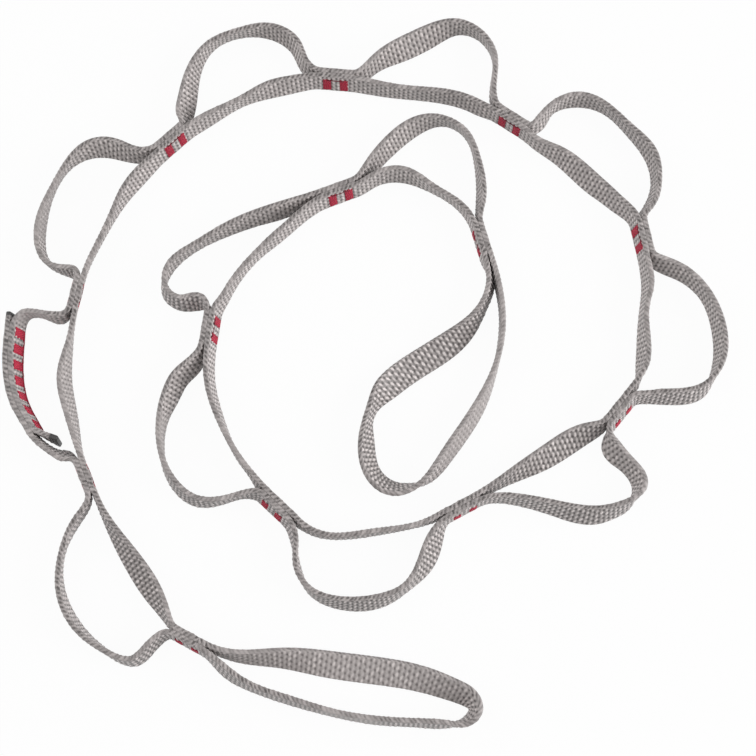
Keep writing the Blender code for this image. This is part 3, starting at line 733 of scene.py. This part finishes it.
def skinned(name, skins, look):
    """One mesh of closed skins: four-sided faces between rings and a fan to a pole at each end.

    Each skin is its rings, the way along them, the way round them and values for each point. The two
    ways become the piece's own UV map, in millimetres.
    """
    points, corners, starts, maps = [], [], [], []
    values = {key: [] for key in skins[0][3]}
    base = loops = 0
    for rings, along, around, attributes in skins:
        count, sides = rings.shape[:2]
        i, k = np.meshgrid(np.arange(count - 1), np.arange(sides), indexing="ij")
        after = (k + 1) % sides
        ring, ahead = i * sides, (i + 1) * sides
        quads = np.stack([ring + k, ring + after, ahead + after, ahead + k], -1)
        quad_map = np.stack([
            np.stack([along[i], along[i], along[i + 1], along[i + 1]], -1),
            np.stack([around[k], around[k + 1], around[k + 1], around[k]], -1),
        ], -1)
        k = np.arange(sides)
        after = (k + 1) % sides
        first, last = count * sides, count * sides + 1
        end = (count - 1) * sides
        fans = np.concatenate([
            np.stack([np.full(sides, first), after, k], -1),
            np.stack([np.full(sides, last), end + k, end + after], -1),
        ])
        fan_map = np.stack([
            np.repeat(along[[0, -1]], sides)[:, None].repeat(3, 1),
            np.tile(np.stack([around[k], around[k + 1], around[k]], -1), (2, 1)),
        ], -1)
        points += [rings.reshape(-1, 3), rings[[0, -1]].mean(axis=1)]
        corners += [quads.ravel() + base, fans.ravel() + base]
        starts += [loops + np.arange(0, quads.size, 4), loops + quads.size + np.arange(0, fans.size, 3)]
        maps += [quad_map.reshape(-1, 2), fan_map.reshape(-1, 2)]
        for key, value in attributes.items():
            values[key] += [value.ravel(), value[[0, -1]].mean(axis=1)]
        base += count * sides + 2
        loops += quads.size + fans.size
    mesh = bpy.data.meshes.new(name)
    points = (np.concatenate(points) - (*LAY_MIDDLE, 0)) * MM
    mesh.vertices.add(len(points))
    mesh.vertices.foreach_set("co", points.astype(np.float32).ravel())
    mesh.loops.add(loops)
    mesh.loops.foreach_set("vertex_index", np.concatenate(corners).astype(np.int32))
    starts = np.concatenate(starts).astype(np.int32)
    mesh.polygons.add(len(starts))
    mesh.polygons.foreach_set("loop_start", starts)
    mesh.uv_layers.new(name="yarn")
    mesh.uv_layers[0].data.foreach_set("uv", np.concatenate(maps).astype(np.float32).ravel())
    for key, value in values.items():
        attribute = mesh.attributes.new(key, "FLOAT", "POINT")
        attribute.data.foreach_set("value", np.concatenate(value).astype(np.float32))
    mesh.update(calc_edges=True)
    mesh.validate()
    mesh.shade_smooth()
    mesh.materials.append(look)
    obj = bpy.data.objects.new(name, mesh)
    bpy.context.scene.collection.objects.link(obj)
    return obj


def thread_tube(path, outward, wide, high, sunk=0.0):
    """A thread along a path: at each point an oval, wide across the path and high along outward.

    The last argument is the share of the thread's colour given over to painted shade, where it lies in a
    crease of the webbing.
    """
    along = np.gradient(path, axis=0)
    along /= np.linalg.norm(along, axis=1, keepdims=True)
    side = np.cross(outward, along)
    side /= np.linalg.norm(side, axis=1, keepdims=True)
    lift = np.cross(along, side)
    angle = np.arange(THREAD_SIDES) * 2 * np.pi / THREAD_SIDES
    rings = (
        path[:, None]
        + side[:, None] * (np.cos(angle) * wide)[:, None]
        + lift[:, None] * (np.sin(angle) * high)[:, None]
    )
    travelled = np.concatenate([[0], np.cumsum(np.linalg.norm(np.diff(path, axis=0), axis=1))])
    around = np.arange(THREAD_SIDES + 1) / THREAD_SIDES
    return rings, travelled, around, {"sunk": np.full(rings.shape[:2], sunk)}


def on_webbing(line, along, around, face, lift):
    """Points over the outer face of a sewn double layer, and the directions outwards there.

    Around is the way from the middle of the face towards its upper edge: straight on the flat, then
    round the edge. Lift is the distance from the face without its relief. The layers are flush, as high
    as the higher one stands on the ground: half the joint times the tangent of the lean.
    """
    straight = section_sizes()[0]
    edge, edge_outward = edge_outline(np.linspace(0, 90, EDGE_POINTS))
    way = straight + np.concatenate([[0], np.cumsum(np.hypot(*np.diff(edge, axis=0).T))])
    far = np.abs(around)
    depth, high, turn_out, turn_up = (
        np.interp(far, way, column) for column in np.column_stack([edge, edge_outward]).T
    )
    high = np.where(far < straight, far, straight + high) + turn_up * lift
    height = np.sign(around) * high
    depth = depth + turn_out * lift
    middle, through, up = line.frames(along)
    lean = np.radians(line.at(along)[:, 2])
    layer = half_joint()
    points = (
        middle
        + through * (face * (layer + depth))[:, None]
        + up * (height + layer * np.abs(np.tan(lean)))[:, None]
    )
    outward = through * (face * turn_out)[:, None] + up * (np.sign(around) * turn_up)[:, None]
    return points, outward


def stitch_bar(line, place, width, face, rng, top=BAR_TOP, sunk=0.0):
    """A bar of stitches on one face: straight threads across the webbing, and a dense zigzag over them.

    The zigzag is a triangle wave with rounded corners, as the arc sine of a sine. Its threads stand
    highest in the middle of the bar and dive into the webbing at the corners, by a high power of the wave.
    """
    thread = bpy.context.scene.chain_thread
    pitch, radius = thread.stitch / MM, thread.diameter / MM / 2

    def tube(along, around, lift, wide, high):
        """A thread over the pressed face, with its width and height in radii."""
        points, outward = on_webbing(line, along, around, np.full_like(along, face), lift - PINCH_DEPTH)
        return thread_tube(points, outward, radius * wide, radius * high, sunk)

    passes = round((BAR_BOTTOM + top) / pitch)
    step = np.linspace(0, passes, passes * RINGS_PER_PASS + 1)
    wave = np.arcsin(PASS_SHARPNESS * np.sin(np.pi * (step - 0.5))) / np.arcsin(PASS_SHARPNESS)
    uneven = np.interp(step, np.arange(passes + 2), rng.uniform(-UNEVEN_STITCH, UNEVEN_STITCH, passes + 2))
    around = -BAR_BOTTOM + step * (BAR_BOTTOM + top) / passes
    high = np.abs(wave) ** END_SHARPNESS
    lift = PASS_LIFT * (1 - high) - PASS_SINK * high + UNEVEN_LIFT * uneven
    skins = [tube(place + wave * width / 2 + uneven, around, lift, 1, PASS_FLATNESS)]
    around = np.linspace(-BAR_BOTTOM, top, FIRST_POINTS)
    for offset in np.linspace(-0.5, 0.5, FIRST_THREADS) * (width - FIRST_INSET * radius):
        along = np.full_like(around, place + offset)
        skins.append(tube(along, around, np.full_like(around, FIRST_LIFT), FIRST_WIDTH, 1))
    return skins


def jump_threads(line, start, finish, height, face, thicker, sunk):
    """Threads that run from one bar to the next along an edge, a little slack, as a shallow arch."""
    radius = bpy.context.scene.chain_thread.diameter / MM / 2 * thicker * JUMP_WIDTH
    along = np.linspace(start, finish, JUMP_POINTS)
    arch = np.sin(np.pi * np.linspace(0, 1, JUMP_POINTS))
    skins = []
    for number in range(JUMP_THREADS):
        around = height + JUMP_PITCH * number * thicker + JUMP_SLACK * arch * (1 - number)
        lift = JUMP_LIFT + JUMP_ARCH * arch
        points, outward = on_webbing(line, along, around, np.full_like(along, face), lift)
        skins.append(thread_tube(points, outward, radius, radius, sunk))
    return skins


def thread_piece(name, skins, body, node):
    """A piece of thread that stands for a node and rides on a body."""
    obj = skinned(name, skins, bonded_nylon_thread())
    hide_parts(node)
    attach(obj, body)
    return obj


def add_node(tree, kind, inputs=(), **settings):
    """Adds a node: settings are its own properties, inputs give sockets a value or another node's output."""
    made = tree.nodes.new(kind)
    for name, value in settings.items():
        setattr(made, name, value)
    for socket, value in dict(inputs).items():
        if isinstance(value, bpy.types.NodeSocket):
            tree.links.new(value, made.inputs[socket])
        else:
            made.inputs[socket].default_value = value
    return made


def new_material(name):
    """An empty material and its node tree, or the one that is there already with no tree."""
    known = bpy.data.materials.get(name)
    if known:
        return known, None
    made = bpy.data.materials.new(name)
    made.use_nodes = True
    made.node_tree.nodes.clear()
    return made, made.node_tree


def opaque(colour):
    """A colour with full cover, as sockets take it."""
    return (*colour, 1.0)


def woven_nylon():
    """Nylon webbing, woven from bright multifilament yarn and not coated.

    The filaments give it a soft sheen along the grains. The crowns of the grains are pale, and the gaps
    between them are darkened with painted shade. Where a hot knife cut it, the yarn is melted to a hard,
    dark, smoother skin.
    """
    made, tree = new_material("woven_nylon_webbing")
    if tree is None:
        return made
    web = bpy.context.scene.chain_webbing
    relief = add_node(tree, "ShaderNodeAttribute", attribute_name="relief").outputs["Fac"]
    tone = add_node(tree, "ShaderNodeAttribute", attribute_name="tone").outputs["Fac"]
    sear = add_node(tree, "ShaderNodeAttribute", attribute_name="sear").outputs["Fac"]
    # Painted shade: the colour runs from the gap's dark to the crown's pale with the height of the weave
    depth = add_node(
        tree, "ShaderNodeMapRange", {"Value": relief, "From Min": 0.05, "From Max": 1.0},
        interpolation_type="SMOOTHSTEP",
    )
    yarn = add_node(
        tree, "ShaderNodeMix", {0: depth.outputs[0], 6: opaque(web.gap), 7: opaque(web.crown)},
        data_type="RGBA",
    )
    # Filaments, 0.04 mm in the real yarn, drawn 0.12 mm apart so that they show
    yarn_map = add_node(tree, "ShaderNodeUVMap", uv_map="yarn")
    stretched = add_node(
        tree, "ShaderNodeMapping", {"Vector": yarn_map.outputs[0], "Scale": (8.0, 0.9, 1.0)}
    )
    filaments = add_node(
        tree, "ShaderNodeTexNoise", {"Vector": stretched.outputs[0], "Scale": 1.0, "Detail": 2.0},
        noise_dimensions="2D",
    ).outputs["Fac"]
    # Dye takes unevenly over a few centimetres of yarn, and a little from grain to grain
    place = add_node(tree, "ShaderNodeTexCoord")
    dye = add_node(
        tree, "ShaderNodeTexNoise", {"Vector": place.outputs["Object"], "Scale": 45.0, "Detail": 2.0}
    )
    grain_tone = add_node(tree, "ShaderNodeMapRange", {"Value": tone, "To Min": 1.10, "To Max": 0.88})
    dye_tone = add_node(
        tree, "ShaderNodeMapRange",
        {"Value": dye.outputs["Fac"], "From Min": 0.3, "From Max": 0.7, "To Min": 0.95, "To Max": 1.05},
    )
    filament_tone = add_node(
        tree, "ShaderNodeMapRange",
        {"Value": filaments, "From Min": 0.3, "From Max": 0.7, "To Min": 0.93, "To Max": 1.05},
    )
    both = add_node(
        tree, "ShaderNodeMath", {0: grain_tone.outputs[0], 1: dye_tone.outputs[0]}, operation="MULTIPLY"
    )
    level = add_node(
        tree, "ShaderNodeMath", {0: both.outputs[0], 1: filament_tone.outputs[0]}, operation="MULTIPLY"
    )
    toned = add_node(
        tree, "ShaderNodeHueSaturation", {"Color": yarn.outputs[2], "Value": level.outputs[0]}
    )
    colour = add_node(
        tree, "ShaderNodeMix", {0: sear, 6: toned.outputs[0], 7: opaque(web.seared)}, data_type="RGBA"
    )
    rough = add_node(tree, "ShaderNodeMapRange", {"Value": sear, "To Min": 0.52, "To Max": 0.42})
    bump = add_node(
        tree, "ShaderNodeBump", {"Height": filaments, "Strength": 0.5, "Distance": 0.06 * MM}
    )
    shader = add_node(
        tree, "ShaderNodeBsdfPrincipled",
        {
            "Base Color": colour.outputs[2], "Roughness": rough.outputs[0], "IOR": 1.53,
            "Sheen Weight": 0.15, "Sheen Roughness": 0.4, "Normal": bump.outputs[0],
        },
    )
    add_node(tree, "ShaderNodeOutputMaterial", {"Surface": shader.outputs[0]})
    return made


def bonded_nylon_thread():
    """Bonded nylon sewing thread, three plies twisted and glued: smooth, with a thin gloss on each ply."""
    made, tree = new_material("bonded_nylon_thread")
    if tree is None:
        return made
    thread = bpy.context.scene.chain_thread
    thread_map = add_node(tree, "ShaderNodeUVMap", uv_map="yarn")
    # A band of the twist comes round every millimetre of thread
    turned = add_node(tree, "ShaderNodeMapping", {"Vector": thread_map.outputs[0], "Scale": (2.0, 1.0, 1.0)})
    plies = add_node(
        tree, "ShaderNodeTexWave", {"Vector": turned.outputs[0], "Scale": 0.318, "Distortion": 0.4},
        bands_direction="DIAGONAL",
    ).outputs["Fac"]
    place = add_node(tree, "ShaderNodeTexCoord")
    dye = add_node(
        tree, "ShaderNodeTexNoise", {"Vector": place.outputs["Object"], "Scale": 520.0, "Detail": 3.0}
    )
    # Painted shade in the grooves between plies, made uneven by the dye, which takes unevenly
    depth = add_node(tree, "ShaderNodeMath", {0: plies, 1: dye.outputs["Fac"]}, operation="MULTIPLY")
    shade = add_node(
        tree, "ShaderNodeMapRange", {"Value": depth.outputs[0], "From Min": 0.04, "From Max": 0.38}
    )
    colour = add_node(
        tree, "ShaderNodeMix",
        {0: shade.outputs[0], 6: opaque(thread.painted_ply_shade), 7: opaque(thread.colour)}, data_type="RGBA",
    )
    # Painted shade: by its attribute the thread darkens to a near-black red where it lies in a crease
    sunk = add_node(tree, "ShaderNodeAttribute", attribute_name="sunk")
    colour = add_node(
        tree, "ShaderNodeMix",
        {0: sunk.outputs["Fac"], 6: colour.outputs[2], 7: opaque(thread.sunk)}, data_type="RGBA",
    )
    bump = add_node(tree, "ShaderNodeBump", {"Height": plies, "Strength": 0.5, "Distance": 0.05 * MM})
    shader = add_node(
        tree, "ShaderNodeBsdfPrincipled",
        {
            "Base Color": colour.outputs[2], "Roughness": 0.6, "IOR": 1.53, "Specular IOR Level": 0.25,
            "Normal": bump.outputs[0],
        },
    )
    add_node(tree, "ShaderNodeOutputMaterial", {"Surface": shader.outputs[0]})
    return made


def white_card():
    """Matt white card: evenly diffuse. To the camera it is mostly lit from itself, so shadows stay faint."""
    made, tree = new_material("matt_white_card")
    if tree is None:
        return made
    stage = bpy.context.scene.chain_stage
    card = add_node(tree, "ShaderNodeBsdfDiffuse", {"Color": opaque(stage.floor)})
    glow = add_node(tree, "ShaderNodeEmission", {"Color": opaque((1, 1, 1)), "Strength": 1.0})
    share = add_node(tree, "ShaderNodeMath", {0: seen_directly(tree), 1: CARD_GLOW}, operation="MULTIPLY")
    mixed = add_node(
        tree, "ShaderNodeMixShader", {0: share.outputs[0], 1: card.outputs[0], 2: glow.outputs[0]}
    )
    add_node(tree, "ShaderNodeOutputMaterial", {"Surface": mixed.outputs[0]})
    return made


def seen_directly(tree):
    """1 for rays from the camera, and for what gloss and glass show of the stage."""
    path = add_node(tree, "ShaderNodeLightPath").outputs
    gloss = add_node(
        tree, "ShaderNodeMath", {0: path["Is Glossy Ray"], 1: path["Is Transmission Ray"]},
        operation="MAXIMUM",
    )
    return add_node(
        tree, "ShaderNodeMath", {0: path["Is Camera Ray"], 1: gloss.outputs[0]}, operation="MAXIMUM"
    ).outputs[0]


def bend_at_tack(piece):
    """Bakes a piece's transform into its mesh."""
    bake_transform(piece)


def seam(number):
    """Where two pieces meet in a tack: the middle of the bar that is nearer its hinge."""
    return hinge_end(number) * BAR_SPACING / 2


def make_strand(number, side, label, through):
    """One strand of a pocket, between the seams of its two tacks and pressed in by the bars across it."""
    first, second = number, number + 1
    flow = [tack_row(first, TACK_LENGTH / 2, side), *through, tack_row(second, -TACK_LENGTH / 2, side)]
    line = Line(
        tack_row(first, seam(first), side),
        flowing(flow, TACKS[first][2], TACKS[second][2]),
        tack_row(second, seam(second), side),
    )
    bars = [(0, side), (line.length, side)]
    if seam(first) < 0:
        bars.append((BAR_SPACING, side))
    if seam(second) > 0:
        bars.append((line.length - BAR_SPACING, side))
    piece, middle = webbing_piece(f"pocket_{number:02d}_{label}_webbing", line, 1, (0, 0), bars)
    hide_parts(f"pocket_{number:02d}_{label}_strand")
    if number == MIDDLE_POCKET:
        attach(piece, f"pocket_{number:02d}")
    else:
        bend_at_tack(piece)


def splice_line():
    """The line between the two layers of the splice."""
    return Line(flowing(SPLICE_ROUTE))


def splice_layer(side):
    """Rows of one layer of the splice, every few millimetres beside the line between the layers."""
    line = splice_line()
    where = np.arange(0, line.length, SPLICE_CONTROL_STEP)
    return [
        beside(row[:2], heading, row[2], side) for row, heading in zip(line.at(where), line.headings(where))
    ]


def splice_bar_places():
    """The way along the splice to each of its bars."""
    return SPLICE_FIRST_BAR + np.arange(SPLICE_BARS) * SPLICE_BAR_SPACING


def bars_across(line, face):
    """The bars of the splice as they lie on a line beside its own: at the line's rows nearest to them."""
    points = splice_line().at(splice_bar_places())[:, :2]
    return [
        (float(line.travelled[np.argmin(np.hypot(*(line.rows[:, :2] - point).T))]), face) for point in points
    ]


def end_loop(name, tack, route, node):
    """One strip from the tack's inner layer round to its outer layer.

    Lean counts towards the left of travel, so it changes sign on the way that runs against the tack.
    """
    heading, end = TACKS[tack][2], hinge_end(tack)
    out, back = (heading, heading + 180) if end > 0 else (heading + 180, heading)
    rows = {
        side: [tack_row(tack, seam(tack), side), tack_row(tack, end * TACK_LENGTH / 2, side)]
        for side in (-1, 1)
    }
    for row in rows[-1 if end < 0 else 1]:
        row[2] = -row[2]
    line = Line(rows[-1][0], flowing([rows[-1][1], *route, rows[1][1]], out, back), rows[1][0])
    face = -end
    phases = (0.5, 0) if end < 0 else (0, 0.5)
    piece, middle = webbing_piece(name, line, -1, phases, [(0, face), (line.length, face)])
    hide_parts(node)
    bend_at_tack(piece)


class CHAIN_OT_stage(bpy.types.Operator):
    """White floor, soft lamps and the photograph's camera"""

    bl_idname = "chain.stage"
    bl_label = "Stage"

    def execute(self, context):
        stage = context.scene.chain_stage
        context.scene.view_settings.view_transform = "Standard"
        camera = bpy.data.objects.new("camera", bpy.data.cameras.new("camera"))
        camera.data.lens = stage.focal_length
        camera.data.sensor_width = CAMERA_SENSOR
        camera.data.clip_start, camera.data.clip_end = 0.01, 20
        back = np.array([0, -math.cos(stage.elevation), math.sin(stage.elevation)])
        camera.location = np.array(CAMERA_AIM) * MM + back * stage.distance
        camera.rotation_euler = (math.pi / 2 - stage.elevation, 0, 0)
        context.scene.collection.objects.link(camera)
        context.scene.camera = camera

        half = FLOOR_SIZE / 2
        corners = [(-half, -half), (half, -half), (half, half), (-half, half)]
        mesh = bpy.data.meshes.new("floor")
        mesh.from_pydata([(x, y, -FLOOR_DEPTH * MM) for x, y in corners], [], [(0, 1, 2, 3)])
        mesh.materials.append(white_card())
        floor = bpy.data.objects.new("floor", mesh)
        context.scene.collection.objects.link(floor)

        for name, (place, size) in LAMPS.items():
            light = bpy.data.lights.new(name, "AREA")
            light.energy, light.shape, light.size = getattr(stage, name), "DISK", size
            lamp = bpy.data.objects.new(name, light)
            lamp.location = place
            lamp.rotation_euler = lamp.location.to_track_quat("Z", "Y").to_euler()
            context.scene.collection.objects.link(lamp)

        world = bpy.data.worlds.new("white_room")
        context.scene.world = world
        world.use_nodes = True
        tree = world.node_tree
        tree.nodes.clear()
        level = add_node(
            tree, "ShaderNodeMapRange", {"Value": seen_directly(tree), "To Min": stage.sky, "To Max": 1.0}
        )
        background = add_node(
            tree, "ShaderNodeBackground", {"Color": opaque((1, 1, 1)), "Strength": level.outputs[0]}
        )
        add_node(tree, "ShaderNodeOutputWorld", {"Surface": background.outputs[0]})
        return {"FINISHED"}


class CHAIN_OT_inner_strands(bpy.types.Operator):
    """Short strands of the twelve pockets"""

    bl_idname = "chain.inner_strands"
    bl_label = "Inner strands"

    def execute(self, context):
        for number, through in INNER_ROUTES.items():
            make_strand(number, -1, "inner", through)
        return {"FINISHED"}


class CHAIN_OT_outer_strands(bpy.types.Operator):
    """Long bulging strands of all pockets but the spliced one"""

    bl_idname = "chain.outer_strands"
    bl_label = "Outer strands"

    def execute(self, context):
        for number, through in OUTER_ROUTES.items():
            make_strand(number, 1, "outer", through)
        return {"FINISHED"}


class CHAIN_OT_splice_ends(bpy.types.Operator):
    """The two webbing ends that lie over each other in the spliced pocket"""

    bl_idname = "chain.splice_ends"
    bl_label = "Splice ends"

    def execute(self, context):
        first, second = SPLICED_POCKET, SPLICED_POCKET + 1
        leaving, arriving = tack_row(first, TACK_LENGTH / 2, 1), tack_row(second, -TACK_LENGTH / 2, 1)
        flow = [leaving, *SPLICE_FROM_TACK_2, *splice_layer(1), *SPLICE_OUTER_TAIL]
        line = Line(tack_row(first, seam(first), 1), flowing(flow, start_heading=TACKS[first][2]))
        bars = [(0, 1), (BAR_SPACING, 1), *bars_across(line, 1)]
        piece, middle = webbing_piece("splice_outer_webbing", line, 1, (0, 0), bars, free=1)
        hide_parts("splice_outer_end")
        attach(piece, carrier(first))

        flow = [*SPLICE_INNER_TAIL, *splice_layer(-1), *SPLICE_TO_TACK_3, arriving]
        line = Line(flowing(flow, finish_heading=TACKS[second][2]), tack_row(second, seam(second), 1))
        bars = [(line.length, 1), *bars_across(line, -1)]
        piece, middle = webbing_piece("splice_inner_webbing", line, 1, (0, 0), bars, free=0)
        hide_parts("splice_inner_end")
        bend_at_tack(piece)
        return {"FINISHED"}


class CHAIN_OT_end_loops(bpy.types.Operator):
    """The loop at each end of the chain"""

    bl_idname = "chain.end_loops"
    bl_label = "End loops"

    def execute(self, context):
        end_loop("outer_loop_webbing", min(TACKS), OUTER_LOOP_ROUTE, "outer_end_loop")
        end_loop("inner_loop_webbing", max(TACKS), INNER_LOOP_ROUTE, "inner_end_loop")
        return {"FINISHED"}


class CHAIN_OT_tack_stitches(bpy.types.Operator):
    """Two bars of zigzag stitches and the threads between them, at each of the thirteen tacks"""

    bl_idname = "chain.tack_stitches"
    bl_label = "Tack stitches"

    def execute(self, context):
        width = context.scene.chain_thread.tack_width / MM
        rng = np.random.default_rng(SEED)
        for number in TACKS:
            line = Line(tack_row(number, -TACK_LENGTH / 2), tack_row(number, TACK_LENGTH / 2))
            places = TACK_LENGTH / 2 - BAR_SPACING / 2, TACK_LENGTH / 2 + BAR_SPACING / 2
            skins = []
            top = LOW_TOPS.get(number, BAR_TOP)
            for face in (-1, 1):
                for place in places:
                    skins += stitch_bar(line, place, width, face, rng, top, TACK_PAINTED_SHADE)
            skins += jump_threads(line, *places, top - JUMP_INSET, -1, **TACK_JUMPS)
            name = f"tack_{number:02d}"
            thread_piece(f"{name}_thread", skins, carrier(number), f"{name}_stitches")
        return {"FINISHED"}


class CHAIN_OT_splice_stitches(bpy.types.Operator):
    """Wider bars of zigzag stitches along the splice, and the threads from each to the next"""

    bl_idname = "chain.splice_stitches"
    bl_label = "Splice stitches"

    def execute(self, context):
        width = context.scene.chain_thread.splice_width / MM
        rng = np.random.default_rng(SEED + 1)
        line = splice_line()
        places = splice_bar_places()
        for i, place in enumerate(places):
            skins = []
            for face in (-1, 1):
                skins += stitch_bar(line, place, width, face, rng)
            before = places[i - 1] if i else place - SPLICE_TAIL
            skins += jump_threads(line, before, place, JUMP_INSET - BAR_BOTTOM, -1, **SPLICE_JUMPS)
            thread_piece(f"splice_bar_{i + 1}_thread", skins, carrier(SPLICED_POCKET), f"splice_bar_{i + 1}")
        return {"FINISHED"}


MAKERS = (
    CHAIN_OT_stage,
    CHAIN_OT_inner_strands,
    CHAIN_OT_outer_strands,
    CHAIN_OT_splice_ends,
    CHAIN_OT_end_loops,
    CHAIN_OT_tack_stitches,
    CHAIN_OT_splice_stitches,
)


class CHAIN_PT_sidebar(bpy.types.Panel):
    """Lists the pieces of the daisy chain with their sizes and colours"""

    bl_idname = "CHAIN_PT_sidebar"
    bl_label = "Daisy chain"
    bl_space_type = "VIEW_3D"
    bl_region_type = "UI"
    bl_category = "Daisy chain"

    def draw(self, context):
        for maker in MAKERS:
            self.layout.operator(maker.bl_idname)
        for settings in (context.scene.chain_webbing, context.scene.chain_thread, context.scene.chain_stage):
            box = self.layout.box()
            for name in settings.__annotations__:
                box.prop(settings, name)


SETTINGS = {
    "chain_webbing": WebbingSettings,
    "chain_thread": ThreadSettings,
    "chain_stage": StageSettings,
}


def register():
    for kind in (*SETTINGS.values(), *MAKERS, CHAIN_PT_sidebar):
        bpy.utils.register_class(kind)
    for name, kind in SETTINGS.items():
        setattr(bpy.types.Scene, name, bpy.props.PointerProperty(type=kind))


def unregister():
    for name in SETTINGS:
        delattr(bpy.types.Scene, name)
    for kind in (CHAIN_PT_sidebar, *MAKERS, *SETTINGS.values()):
        bpy.utils.unregister_class(kind)


def main():
    register()
    for maker in MAKERS:
        group, name = maker.bl_idname.split(".")
        getattr(getattr(bpy.ops, group), name)()


if __name__ == "__main__":
    main()
